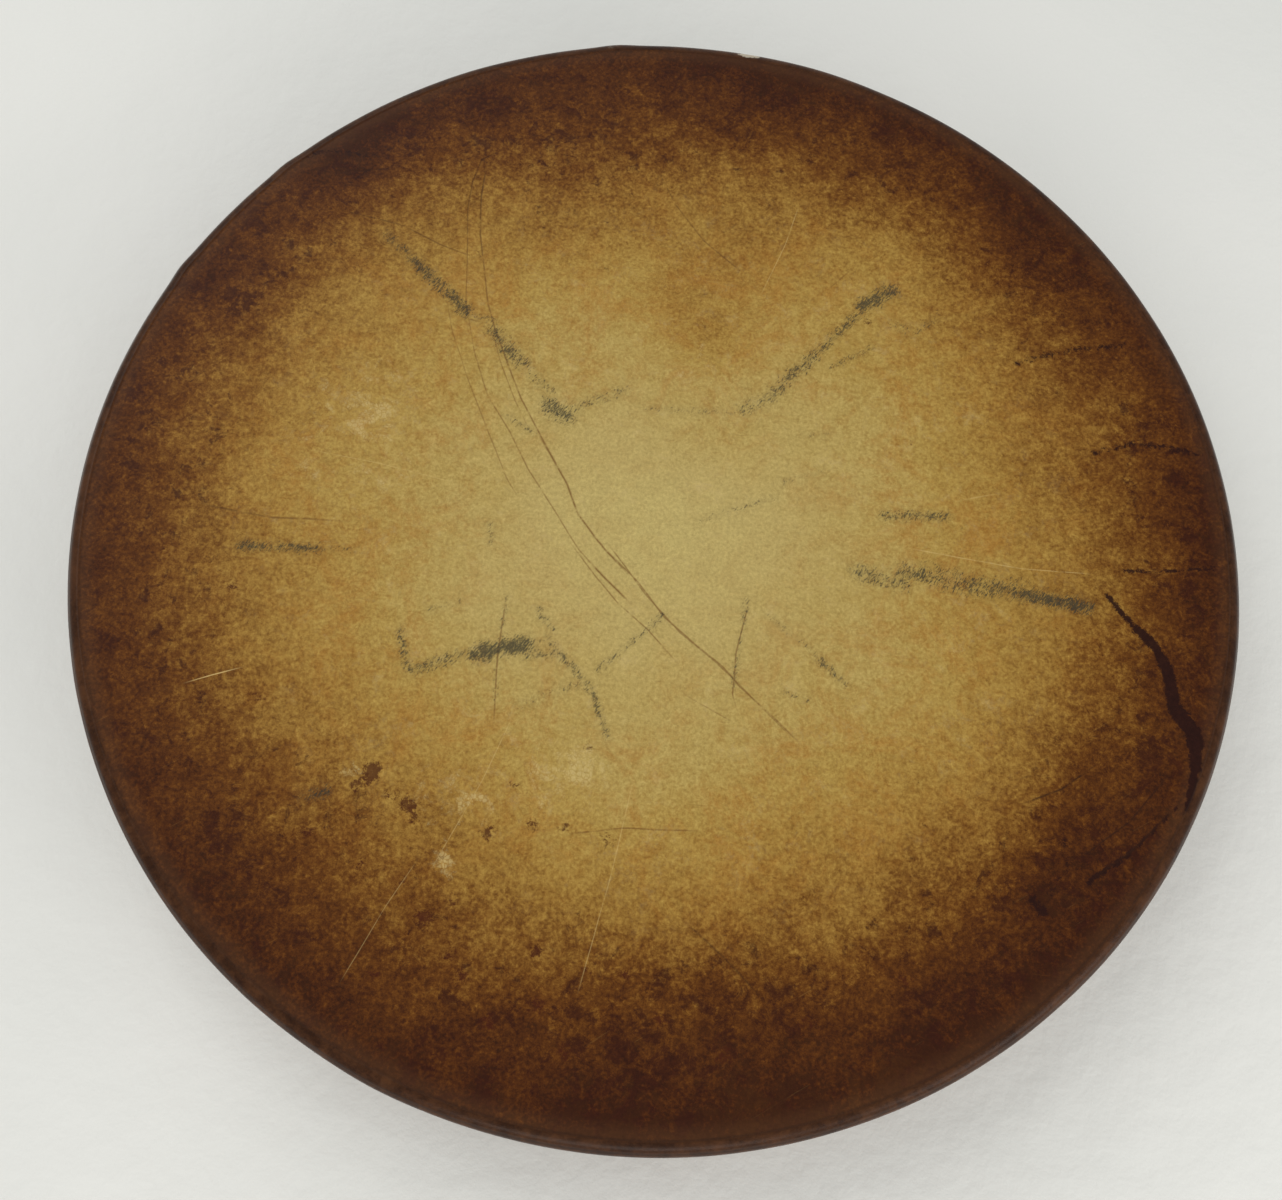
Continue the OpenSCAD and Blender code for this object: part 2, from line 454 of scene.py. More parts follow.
# Brown hairline scratches: width in mm, depth of colour, then the points. Their order
# keeps the lines that share a layer, every sixth one, apart.
SCRATCHES = (
    (0.5, 0.8, (-40, 67), (-40, 60), (-39, 52), (-37, 44), (-35.5, 38), (-33.5, 33), (-30.5, 27),
     (-27, 20), (-23, 14), (-17, 5), (-14.5, 0), (-9, -6), (-3, -11), (2, -16.5), (8, -21), (12.5, -24),
     (15.5, -27), (21, -31), (27, -36)),
    (0.4, 0.55, (-43, 38), (-41, 31.5), (-37, 23), (-32.5, 14.5), (-27.5, 5), (-24.5, 1)),
    (0.42, 0.65, (-37, 71), (-41, 68), (-42, 63), (-42, 57), (-41, 50), (-39.5, 38), (-36.5, 28),
     (-33, 20), (-28, 13.5), (-24, 7), (-18.5, 0), (-13.5, -6.5), (-8, -11.5), (-3, -15.5)),
    (0.38, 0.6, (-34.5, 34), (-31.5, 26.5), (-28, 19.5), (-24.5, 14)),
    (0.4, 0.7, (-15.5, -5), (-10, -11), (-6, -15), (-0.5, -19), (5.5, -24.5)),
    (0.6, 0.9, (-23.5, 14.5), (-17, 5), (-14.5, 0), (-9, -6), (-4, -10.5)),
    (0.5, 0.7, (-66, 54), (-53, 52), (-46, 49), (-39, 47)),
    (0.6, 0.9, (-13, -7), (-8, -11.5), (-3, -15.5)),
    (0.45, 0.65, (-8, 70), (-4, 63), (2, 56), (10, 50)),
    (0.42, 0.75, (-9, -4.5), (-1.5, -13), (5, -19), (11.5, -23.5), (19.5, -30), (25.5, -35)),
    (0.45, 0.8, (-10, -54), (-1, -52), (12, -51)),
    (0.6, 0.75, (-78, -6), (-66, -7), (-52, -6)),
    (0.6, 0.65, (10, -65), (17, -70), (24, -76)),
    (0.38, 0.55, (6, -29), (11.5, -31.5), (16, -33.5)),
    (0.55, 0.9, (62, -41.5), (69, -38), (75, -33)),
    (0.5, 0.85, (61, -37.5), (65, -36)),
    (0.7, 0.95, (73, -52.5), (80, -47), (87.5, -39)),
    (0.5, 0.7, (62, -32.5), (66, -30.5)),
    (0.45, 0.8, (71.5, -49), (80, -42), (87, -33)),
    (0.8, 0.85, (0, 44), (6, 46)),
    (0.45, 0.75, (16, -12), (14.5, -21.5), (14.5, -28.5), (16, -32)),
    (0.45, 0.6, (30, 54), (25, 48)),
    (0.7, 0.7, (-69, 61), (-56, 64)),
    (0.6, 0.85, (-41, 35), (-35, 34)),
    (0.5, 0.8, (-24.5, -16.5), (-24.5, -26), (-23.5, -38.5)),
)

# Pale hairline scratches, the same way.
PALE_SCRATCHES = (
    (0.28, 1.0, (-74.5, -37), (-70, -35), (-65, -33)),
    (0.3, 0.5, (42, 0.5), (62, -1), (74, -0.5)),
    (0.26, 0.45, (13, 45), (17, 57), (19, 66)),
    (0.26, 0.4, (-30, -62), (-24, -47), (-20, -34)),
    (0.26, 0.4, (-5, -78), (-2, -60), (0, -44)),
    (0.24, 0.35, (-41, -80), (-36, -68), (-32, -60)),
    (0.4, 0.35, (50, 10), (58, 12.5)),
    (0.24, 0.35, (-62, 6), (-50, 5), (-36, 3)),
)

# Dark veins near the border: width in mm, strength, then the points.
VEINS = (
    (1.7, 0.56, (76.5, -4), (79, -7), (81.5, -9.5)),
    (2.2, 0.72, (81.5, -9.5), (84.5, -12), (86, -15)),
    (2.6, 0.8, (86, -15), (87, -18), (87.5, -22)),
    (3.2, 0.92, (88, -23), (89, -24), (90.5, -26), (91, -28)),
    (2.6, 0.8, (91, -28), (90.8, -32)),
    (1.9, 0.64, (90.8, -32), (90, -36), (89.5, -39)),
    (1.4, 0.48, (79, 0.5), (87, 1.5), (95, 3)),
    (2.2, 0.42, (74, 22), (82, 25), (93, 24)),
    (2.2, 0.4, (60, 38), (70, 42), (80, 44)),
    (1.3, 0.62, (73, -52.5), (80, -47)),
    (1.0, 0.56, (80, -47), (87.5, -39)),
    (3.0, 0.52, (64.5, -56), (66, -57.5)),
    (2.4, 0.34, (69, -45), (70, -50), (67, -55)),
    (2.0, 0.4, (-78, 62), (-70, 66), (-60, 66)),
    (2.0, 0.35, (-66, 58), (-60, 64), (-56, 72)),
)

# ---- the shape of the rim


def rim_offset(angles):
    """How far the rim stands out of a true circle, at each direction."""
    out = 0.25 * MM * np.sin(2 * angles + 0.6) + 0.15 * MM * np.sin(3 * angles + 2.0)
    out += 0.12 * MM * ring_noise(angles, 40, seed=1)
    for degrees, half_width, height in RIM_LUMPS:
        away = np.degrees(np.angle(np.exp(1j * (angles - math.radians(degrees)))))
        out += height * np.exp(-((away / half_width) ** 2))
    return out


def head_height(xy):
    """Height of the head's face above or below its nominal plane."""
    rho = np.linalg.norm(xy, axis=1) / HEAD_R
    sag = -0.9 * MM * (1 - np.clip(rho, 0, 1) ** 2) - 0.35 * MM
    ripple = 0.16 * MM * wobble(np.c_[xy, np.zeros(len(xy))], 55 * MM, seed=2)
    return sag + ripple * smooth(1.0, 0.9, rho)


def groove(radius):
    """The crease where the head meets the rim's rounded lip."""
    return -0.15 * MM * np.exp(-(((radius - CREASE_R) / (0.42 * MM)) ** 2))


# ---- the hide

HEAD_RINGS = SEGMENTS // 6
HEAD_GRID_R = HEAD_R - 3 * MM
SIDE_TOP = DRUM_H - SHOULDER_R
SKIRT_PUCKER = 0.32 * MM
LIP_RADII = [HEAD_R + x * MM for x in (-2.2, -1.5, -0.9, -0.5, -0.2, 0.1, 0.4, 0.8)]


def head_grid():
    """Even triangles over the flat of the head, ending in a ring of SEGMENTS points."""
    points = [(0.0, 0.0)]
    faces = []
    starts = [0]
    for k in range(1, HEAD_RINGS + 1):
        starts.append(len(points))
        radius = HEAD_GRID_R * k / HEAD_RINGS
        points += [
            (radius * math.cos(TAU * j / (6 * k)), radius * math.sin(TAU * j / (6 * k)))
            for j in range(6 * k)
        ]
        outer, inner = 6 * k, max(1, 6 * (k - 1))
        for sector in range(6):
            for j in range(k):
                a = starts[k] + sector * k + j
                b = starts[k] + (sector * k + j + 1) % outer
                c = starts[k - 1] + (sector * (k - 1) + j) % inner
                faces.append((a, b, c))
                if j < k - 1:
                    d = starts[k - 1] + (sector * (k - 1) + j + 1) % inner
                    faces.append((b, d, c))
    return np.array(points), faces, starts[-1]


def shoulder_row(angle, inset=0.0):
    """Radius and height on the rounded shoulder, angle 0 at its top and 90 at the side."""
    bend = SHOULDER_R - inset
    dip = 0.14 * MM * math.exp(-(((math.degrees(angle) - 52) / 9) ** 2))
    bend -= dip if inset == 0 else 0
    return HEAD_R + bend * math.sin(angle), DRUM_H - SHOULDER_R + bend * math.cos(angle)


def outside_rows(ray, offset, pucker, bottom):
    """Radius and height of each row from the edge of the flat, over the rim and down the skirt."""
    for radius in LIP_RADII:
        moved = radius + offset * smooth(LIP_RADII[0], LIP_RADII[-1], radius)
        lift = head_height(ray * radius) * smooth(HEAD_R + 0.8 * MM, HEAD_R - 0.6 * MM, radius)
        yield moved, DRUM_H + lift + groove(radius)
    for degrees in np.linspace(12, 90, 16):
        radius, height = shoulder_row(math.radians(degrees))
        yield radius + offset, height + groove(radius)
    for t in np.linspace(0, 1, 13)[1:]:
        yield DRUM_R + offset + SKIRT_PUCKER * pucker * t**2, SIDE_TOP + (bottom - SIDE_TOP) * t


def inside_rows(ray, offset, pucker, bottom):
    """The same over the skirt's cut edge, up its inside and under the head to its middle."""
    yield DRUM_R + offset + SKIRT_PUCKER * pucker - 0.25 * MM, bottom - 0.22 * MM
    inner = HOOP_R + offset + 0.03 * MM
    yield inner + 0.1 * MM, bottom - 0.22 * MM
    for t in (0.02, 0.25, 0.5, 0.75, 1.0):
        yield inner, bottom + (SIDE_TOP - bottom) * t
    for degrees in (75, 60, 45, 30, 15, 0):
        radius, height = shoulder_row(math.radians(degrees), inset=HIDE_T)
        yield radius + offset * degrees / 90, height + 0.02 * MM
    for radius in (0.97, 0.94, 0.90, 0.84, 0.76, 0.66, 0.55, 0.43, 0.30, 0.18, 0.08):
        yield HEAD_R * radius, DRUM_H - HIDE_T + head_height(ray * HEAD_R * radius)


def hide_points():
    """Rows of the hide from the middle of its face, over the rim, and back inside."""
    angles = TAU * np.arange(SEGMENTS) / SEGMENTS
    ray = np.c_[np.cos(angles), np.sin(angles)]
    offset = rim_offset(angles)
    pucker = np.abs(ring_noise(angles, 150, seed=3)) * 0.45 + np.abs(ring_noise(angles, 46, seed=4)) * 0.5
    cut_edge = 0.9 * MM * ring_noise(angles, 9, seed=5) + 0.35 * MM * ring_noise(angles, 90, seed=6)
    bottom = SKIRT_Z + cut_edge
    shape = (ray, offset, pucker, bottom)

    flat, faces, before = head_grid()
    rows = [np.c_[flat, DRUM_H + head_height(flat)]]
    kinds = [0] * len(faces)
    start = len(flat)
    for kind, new_rows in enumerate((outside_rows(*shape), inside_rows(*shape))):
        for radius, height in new_rows:
            around = ray * np.broadcast_to(radius, SEGMENTS)[:, None]
            rows.append(np.c_[around, np.broadcast_to(height, SEGMENTS)])
            faces.extend(tuple(reversed(f)) for f in loop_faces(before, start, SEGMENTS))
            kinds.extend([kind] * SEGMENTS)
            before, start = start, start + SEGMENTS
    rows.append(np.array([[0, 0, DRUM_H - HIDE_T + head_height(np.zeros((1, 2)))[0]]]))
    faces.extend((start, before + (j + 1) % SEGMENTS, before + j) for j in range(SEGMENTS))
    kinds.extend([1] * SEGMENTS)
    return np.concatenate(rows), faces, kinds


def stain_value(xy):
    """0 in the golden middle of the head to 1 in its dark border."""
    rho = np.linalg.norm(xy, axis=1) / DRUM_R
    degrees = np.degrees(np.arctan2(xy[:, 1], xy[:, 0])) % 360
    shift = np.interp(degrees, np.arange(0, 361, 30), BORDER_SHIFT + BORDER_SHIFT[:1])
    value = rho + shift * smooth(0.3, 0.7, rho)
    return value + blob_field(xy / MARK_UNIT, STAIN_PATCHES)


def wear_and_highlight_value(points):
    """Where the crest of the rim is worn pale, and where a painted highlight lies on it at the lower right.
    """
    degrees = np.degrees(np.arctan2(points[:, 1], points[:, 0]))
    radius = np.hypot(points[:, 0], points[:, 1])
    crest = np.exp(-(((radius - (DRUM_R - 3.2 * MM)) / (1.6 * MM)) ** 2))
    total = np.zeros(len(points))
    for centre, half_width, amount in RIM_WEAR_AND_HIGHLIGHT:
        away = (degrees - centre + 180) % 360 - 180
        total += amount * np.exp(-((away / half_width) ** 2))
    return np.clip(total, 0, 1) * crest


def make_hide(outside, inside):
    points, faces, kinds = hide_points()
    piece = mesh_piece("hide", points, faces, kinds)
    piece.data.materials.append(outside)
    piece.data.materials.append(inside)
    xy = points[:, :2]
    face_up = points[:, 2] > DRUM_H - SHOULDER_R
    point_value(piece, "stain", stain_value(xy))
    at = xy / MARK_UNIT
    point_value(piece, "smudge", stroke_field(at, SMUDGES) * face_up)
    point_value(piece, "vein", stroke_field(at, VEINS) * face_up)
    point_value(piece, "blot", blob_field(at, BLOTS) * face_up)
    point_value(piece, "pale", blob_field(at, PALE_PATCHES) * face_up)
    # Pale wear on the rim's crest, and a painted highlight on it at the lower right.
    point_value(piece, "wear_and_highlight", wear_and_highlight_value(points))
    for name, lines in (("dark", SCRATCHES), ("pale", PALE_SCRATCHES)):
        for layer in range(LINE_LAYERS):
            across, on = line_layer(xy, lines[layer::LINE_LAYERS])
            point_value(piece, f"{name}_{layer}_across", across)
            point_value(piece, f"{name}_{layer}_on", on * face_up)
    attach(piece, "drum")
    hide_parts("hide_head")


# ---- the hide's materials

HIDE_STOPS = (
    (0.00, (186, 167, 104)),
    (0.18, (181, 159, 97)),
    (0.34, (175, 150, 85)),
    (0.48, (168, 138, 70)),
    (0.60, (157, 122, 56)),
    (0.69, (140, 102, 42)),
    (0.76, (118, 78, 27)),
    (0.83, (96, 55, 14)),
    (0.90, (78, 40, 9)),
    (0.96, (65, 30, 7)),
    (1.00, (54, 24, 7)),
)


def hairlines(s, name, wander):
    """The hairlines stored on the mesh under this name, as one value from 0 to 1."""
    value = 0.0
    for layer in range(LINE_LAYERS):
        across = s.calc("ADD", s.attribute(f"{name}_{layer}_across"), wander)
        near = s.calc("SUBTRACT", 1.0, s.calc("ABSOLUTE", across), clamp=True)
        value = s.calc("MAXIMUM", value, s.times(near, s.attribute(f"{name}_{layer}_on")))
    return value


def hide_grain(s):
    """The noises and stored values that the hide's layers share."""
    at = s.place_in_mm()
    grain = SimpleNamespace(
        at=at,
        wide=s.cloud(at, 0.016, 4, 0.6, 0.6),
        blotch=s.cloud(at, 0.06, 8, 0.72, 0.4),
        mottle=s.cloud(at, 0.2, 8, 0.8, 0.3),
        fleck=s.cloud(at, 0.8, 4, 0.75),
        stain=s.attribute("stain"),
    )
    grain.border = s.step(grain.stain, 0.5, 0.85)
    grain.middle = s.step(grain.stain, 0.15, 0.4)
    return grain


def hide_ground(s, g):
    """Golden to dark, outwards, with rust-coloured and pale rubbed clouds in the golden part."""
    value = s.times_plus(g.wide, 0.035, g.stain)
    value = s.times_plus(g.blotch, s.times_plus(g.border, 0.03, 0.05), value)
    value = s.times_plus(g.mottle, s.times_plus(g.middle, 0.06, 0.03), value)
    value = s.times_plus(g.fleck, s.times_plus(g.middle, 0.03, 0.05), value)
    color = s.color_ramp(value, HIDE_STOPS)
    warm = s.times_plus(g.mottle, 0.4, s.cloud(g.at, 0.04, 8, 0.8, 0.6))
    warm = s.step(warm, -0.3, 0.9)
    share = s.times_plus(g.middle, 0.40, 0.12)
    share = s.calc("SUBTRACT", share, s.times(g.border, 0.45))
    color = s.painted(color, (158, 102, 36), s.times(warm, share))
    light = s.times_plus(g.fleck, 0.3, s.cloud(g.at, 0.12, 8, 0.8, 0.3))
    light = s.times(s.step(light, 0.1, 1.0), s.step(g.stain, 0.8, 0.5))
    return s.painted(color, (208, 184, 126), light, 0.4)


def hide_spots(s, g, color):
    """Small crisp red-brown spots, crowding towards the border, and brown specks."""
    crowd = s.times_plus(s.step(g.stain, 0.55, 0.9), 0.75, s.times(g.wide, 0.3))
    spots = s.calc("ADD", s.cloud(g.at, 0.14, 5, 0.72, 0.5), crowd)
    spots = s.times_plus(g.fleck, 0.12, spots)
    color = s.painted(color, (52, 19, 8), s.step(spots, 0.78, 1.3), 0.7)
    specks = s.step(s.cloud(g.at, 0.45, 4, 0.8, 0.2), 0.85, 1.25)
    return s.painted(color, (104, 60, 20), specks, 0.5)


def hide_hairs(s, g, color):
    """Fine pale streaks at a slant, and brown ones along X."""
    slant = s.turned(g.at, math.radians(-35))
    hair = s.cloud(s.stretched(slant, (0.05, 1.3, 1.0)), 1.0, 3, 0.6, 0.15)
    hair = s.times(s.step(hair, 0.7, 1.3), s.step(g.border, 0.0, 1.0, 0.32, 0.1))
    color = s.painted(color, (204, 168, 96), hair)
    hair = s.cloud(s.stretched(g.at, (0.06, 1.1, 1.0)), 1.0, 3, 0.6, 0.15)
    return s.painted(color, (96, 58, 22), s.step(hair, 0.6, 1.3), 0.35)


def hide_blots(s, g, color):
    """The veins and the larger blots, with ragged edges."""
    vein = s.times_plus(g.ragged, 0.3, s.attribute("vein"))
    color = s.painted(color, (38, 14, 9), s.step(vein, 0.3, 0.46), 0.95)
    blot = s.times_plus(g.fleck, 0.3, s.times(s.attribute("blot"), 0.8))
    blot = s.times_plus(g.ragged, 0.5, blot)
    blot = s.times(s.step(blot, 0.22, 0.55), s.step(s.attribute("blot"), 0.03, 0.25))
    return s.painted(color, (70, 28, 10), blot, 0.8)


def hide_lines(s, g, color):
    """Hairline scratches, which wander a little and break up along their length."""
    wander = s.times(s.cloud(g.at, 0.03, 2, 0.5), 0.6)
    broken = s.step(s.cloud(g.at, 0.25, 3, 0.6), -1.0, 0.2)
    dark_lines = s.times(hairlines(s, "dark", wander), broken)
    pale_lines = s.times(hairlines(s, "pale", wander), broken)
    line_color = s.mixed(g.border, srgb(112, 76, 34), srgb(46, 22, 10))
    color = s.mixed(dark_lines, color, line_color)
    return s.painted(color, (216, 188, 124), pale_lines, 0.95), dark_lines


def hide_flakes(s, g, color):
    """Flaking, where the face is rubbed: pale cells with brown cracks between them."""
    shake = s.node("TexNoise", {"Vector": g.at, "Scale": 0.8, "Detail": 2.0})
    shaken = s.vector_calc("ADD", g.at, shake.outputs["Color"])
    cells = s.node("TexVoronoi", {"Vector": shaken, "Scale": 0.6}, feature="DISTANCE_TO_EDGE")
    patch = s.times_plus(g.mottle, 0.6, s.cloud(g.at, 0.11, 5, 0.7, 0.8))
    patch = s.calc("ADD", patch, s.attribute("pale"))
    patch = s.times(s.step(patch, 0.7, 1.4), s.step(s.attribute("pale"), 0.1, 0.5))
    cell = s.step(cells.outputs["Distance"], 0.03, 0.14)
    patch = s.times(patch, s.step(s.attribute("pale"), 0.9, 1.4, 1.0, 1.4))
    return s.painted(color, (210, 188, 128), s.times(patch, s.times_plus(cell, 0.30, 0.15)))


def hide_soot(s, g, color):
    """Soot rubbed over the grain: a hatch of fine dark threads on a faint haze."""
    smudge = s.attribute("smudge")
    threads = s.stretched(s.turned(g.at, math.radians(-58)), (0.5, 1.9, 1.0))
    threads = s.cloud(threads, 1.0, 3, 0.65, 1.3)
    soot = s.times_plus(g.mottle, 0.35, s.times(smudge, 0.94))
    soot = s.times_plus(threads, 0.7, soot)
    soot = s.times(s.step(soot, 0.45, 0.88), s.step(smudge, 0.06, 0.35))
    haze = s.times(smudge, 0.14)
    soot = s.calc("MAXIMUM", s.times(soot, 0.84), haze)
    return s.painted(color, (54, 54, 45), soot), soot


def hide_rim(s, g, color, radius):
    """The rim's lip: smoother and darker, with painted shade along the crease beside it and along a fold,
    worn pale places, and a painted highlight at the lower right.
    """
    lip = s.step(radius, CREASE_R / MM, (HEAD_R + 0.9 * MM) / MM)
    lip_tone = s.step(s.calc("ADD", g.blotch, g.mottle), -0.8, 1.0)
    lip_color = s.mixed(lip_tone, srgb(24, 12, 8), srgb(84, 52, 30))
    color = s.mixed(s.times(lip, 0.7), color, lip_color)
    # Painted shade: a thin dark line along the crease where the head meets the lip.
    crease = s.calc("ABSOLUTE", s.calc("SUBTRACT", radius, CREASE_R / MM))
    color = s.painted(color, (26, 13, 9), s.step(crease, 0.0, 0.8, 0.22, 0.0))
    # Painted shade: a dark line along the shallow fold in the shoulder, between its two highlights.
    fold = s.calc("ABSOLUTE", s.calc("SUBTRACT", radius, (HEAD_R + 4.4 * MM) / MM))
    color = s.painted(color, (26, 13, 9), s.step(fold, 0.0, 0.45, 0.45, 0.0))
    # Pale worn places on the crest, and a painted highlight on it at the lower right.
    worn = s.times_plus(g.ragged, 0.4, s.attribute("wear_and_highlight"))
    worn = s.times(s.step(worn, 0.35, 0.6), s.step(s.attribute("wear_and_highlight"), 0.05, 0.25))
    return s.painted(color, (196, 184, 164), worn, 0.85), lip


def hide_outside():
    """Old dried hide: golden middle, stained border, soot, scratches and a handled rim, with painted shade
    in its crease and fold and a painted highlight on it.
    """
    s = Shading("hide_outside", **{"Specular IOR Level": 0.1})
    g = hide_grain(s)
    color = hide_ground(s, g)
    color = hide_spots(s, g, color)
    color = hide_hairs(s, g, color)

    # The last few millimetres before the rim are handled, and greyer.
    radius = s.from_axis(g.at)
    handled = s.step(radius, (HEAD_R - 7 * MM) / MM, HEAD_R / MM, 0.0, 0.24)
    color = s.painted(color, (100, 68, 42), handled)

    g.ragged = s.cloud(g.at, 0.45, 6, 0.8, 0.8)
    color = hide_blots(s, g, color)
    shade = s.times_plus(g.fleck, -0.23, s.times_plus(g.mottle, -0.10, 1.0))
    color = s.scaled(color, shade)
    color, dark_lines = hide_lines(s, g, color)
    color = hide_flakes(s, g, color)
    color, soot = hide_soot(s, g, color)
    color, lip = hide_rim(s, g, color, radius)

    rough = s.times_plus(lip, -0.2, 0.5)
    rough = s.times_plus(g.blotch, 0.05, rough)
    rough = s.times_plus(soot, 0.2, rough)
    s.plug(color, rough)
    height = s.times_plus(g.fleck, 0.6, s.times(g.mottle, 0.4))
    height = s.times_plus(g.blotch, 0.3, height)
    height = s.times_plus(dark_lines, -1.6, height)
    height = s.times(height, s.times_plus(lip, -0.6, 1.0))
    s.bumped(height, 0.4, 0.15 * MM)
    return s.material


def hide_inside():
    """The flesh side: paler, matt, with faint vessels and a grubby edge."""
    s = Shading("hide_inside", **{"Specular IOR Level": 0.3})
    at = s.place_in_mm()
    blotch = s.cloud(at, 0.05, 7, 0.66, 0.5)
    fleck = s.cloud(at, 0.7, 5, 0.7)
    value = s.times_plus(s.attribute("stain"), 0.75, 0.02)
    value = s.times_plus(blotch, 0.08, value)
    value = s.times_plus(fleck, 0.04, value)
    color = s.color_ramp(value, (
        (0.0, (196, 172, 126)),
        (0.4, (178, 148, 98)),
        (0.65, (146, 112, 68)),
        (0.85, (112, 80, 48)),
        (1.0, (86, 60, 38)),
    ))
    shake = s.node("TexNoise", {"Vector": at, "Scale": 0.03}).outputs["Color"]
    shaken = s.vector_calc("ADD", at, s.stretched((9, 9, 9), shake))
    cells = s.node("TexVoronoi", {"Vector": shaken, "Scale": 0.018}, feature="DISTANCE_TO_EDGE")
    vessel = s.step(cells.outputs["Distance"], 0.0, 0.02, 0.22, 0.0)
    vessel = s.times(vessel, s.step(blotch, -0.3, 0.7))
    color = s.painted(color, (120, 78, 48), vessel)
    s.plug(color, s.times_plus(fleck, 0.05, 0.72))
    s.bumped(s.times_plus(fleck, 0.6, blotch), 0.4, 0.2 * MM)
    return s.material


# ---- the hoop


def hoop_section():
    """Radius and height round the wall's section, from the outer back corner, anticlockwise."""
    edge_r = SHOULDER_R - HIDE_T
    top = DRUM_H - HIDE_T
    section = [(HOOP_R - BACK_R * (1 - math.sin(a)), BACK_R * (1 - math.cos(a)))
               for a in np.radians(np.linspace(0, 90, 7))]
    section += [(HOOP_R, h) for h in np.linspace(BACK_R, top - edge_r, 15)[1:-1]]
    section += [(HOOP_R - edge_r * (1 - math.cos(a)), top - edge_r * (1 - math.sin(a)))
                for a in np.radians(np.linspace(0, 90, 9))]
    bearing_r = HOOP_R - edge_r - BEARING_W
    section += [(bearing_r + 0.3 * MM, top), (bearing_r - 0.2 * MM, top - 0.5 * MM)]
    section += [(bearing_r + t * (HOOP_IN_R - bearing_r), top - t * BEVEL_H) for t in (0.3, 0.65, 0.95)]
    section += [(HOOP_IN_R, h) for h in np.linspace(top - BEVEL_H - 0.8 * MM, BACK_R, 10)]
    section += [(HOOP_IN_R + BACK_R * (1 - math.cos(a)), BACK_R * (1 - math.sin(a)))
                for a in np.radians(np.linspace(0, 90, 7))][1:]
    return section


def scarf_blade():
    """A thin curved blade along the glue line, to cut it into the hoop."""
    half = 0.15 * MM
    route = []
    for t in np.linspace(0, 1, 17):
        a = SCARF_AZ + (2 * t - 1) * SCARF_HALF
        route.append((HOOP_IN_R + SCARF_TIP_T + t * (WALL_T - 2 * SCARF_TIP_T), a))
    route = [(HOOP_IN_R - MM, route[0][1])] + route + [(HOOP_R + 1.2 * MM, route[-1][1])]
    line = np.array([(r * math.cos(a), r * math.sin(a)) for r, a in route])
    along = np.gradient(line, axis=0)
    along /= np.linalg.norm(along, axis=1)[:, None]
    side = np.c_[-along[:, 1], along[:, 0]] * half
    outline = np.concatenate([line + side, (line - side)[::-1]])
    n = len(outline)
    points = [(x, y, -MM) for x, y in outline] + [(x, y, DRUM_H) for x, y in outline]
    faces = [tuple(reversed(range(n))), tuple(range(n, 2 * n))]
    faces += [(j, (j + 1) % n, n + (j + 1) % n, n + j) for j in range(n)]
    return mesh_piece("scarf_blade", points, faces, smooth_faces=False)


def cut_by(piece, blade):
    """Cuts the blade out of the piece, applies it and removes the blade."""
    modifier = piece.modifiers.new("cut", "BOOLEAN")
    modifier.object = blade
    modifier.operation = "DIFFERENCE"
    modifier.solver = "EXACT"
    graph = bpy.context.evaluated_depsgraph_get()
    mesh = bpy.data.meshes.new_from_object(piece.evaluated_get(graph))
    piece.modifiers.clear()
    old = piece.data
    piece.data = mesh
    bpy.data.meshes.remove(old)
    bpy.data.objects.remove(blade)


def make_hoop(wood):
    section = hoop_section()
    angles = TAU * (np.arange(SEGMENTS) + 0.5) / SEGMENTS
    offset = rim_offset(angles)
    planed = 0.12 * MM * ring_noise(angles, 26, seed=8)
    rows = []
    for radius, height in section:
        r = radius + offset + (planed if radius < HOOP_R - 2 * MM else 0.3 * planed)
        rows.append(np.c_[r * np.cos(angles), r * np.sin(angles), np.full(SEGMENTS, height)])
    faces = []
    for k in range(len(section)):
        faces += [tuple(reversed(f)) for f in
                  loop_faces(k * SEGMENTS, (k + 1) % len(section) * SEGMENTS, SEGMENTS)]
    piece = mesh_piece("bent_hoop", np.concatenate(rows), faces)
    cut_by(piece, scarf_blade())
    piece.data.set_sharp_from_angle(angle=math.radians(35))
    piece.data.materials.clear()
    piece.data.materials.append(wood)
    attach(piece, "drum")
    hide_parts("hoop")


def strip_place(s, at):
    """Place in the unrolled strip, from its tip: along it, up it and outwards, in mm."""
    height = s.node("SeparateXYZ", {0: at}).outputs["Z"]
    from_tip = s.turned(at, math.pi - (SCARF_AZ + SCARF_HALF))
    from_tip = s.node("SeparateXYZ", {0: from_tip}).outputs
    along = s.times(s.calc("ARCTAN2", from_tip["Y"], from_tip["X"]), HOOP_R / MM)
    radius = s.from_axis(at)
    strip = s.node("CombineXYZ", {"X": along, "Y": height, "Z": radius}).outputs[0]
    return strip, height, radius


def year_rings(s, strip):
    """Long wavering lines of grain."""
    bend = s.cloud(s.stretched(strip, (0.010, 0.16, 0.16)), 1.0, 3, 0.5)
    lines_at = s.stretched(strip, (0.006, 0.9, 0.9))
    shift = s.node("CombineXYZ", {"Y": s.times(bend, 0.9)}).outputs[0]
    return s.cloud(s.vector_calc("ADD", lines_at, shift), 1.0, 5, 0.6)


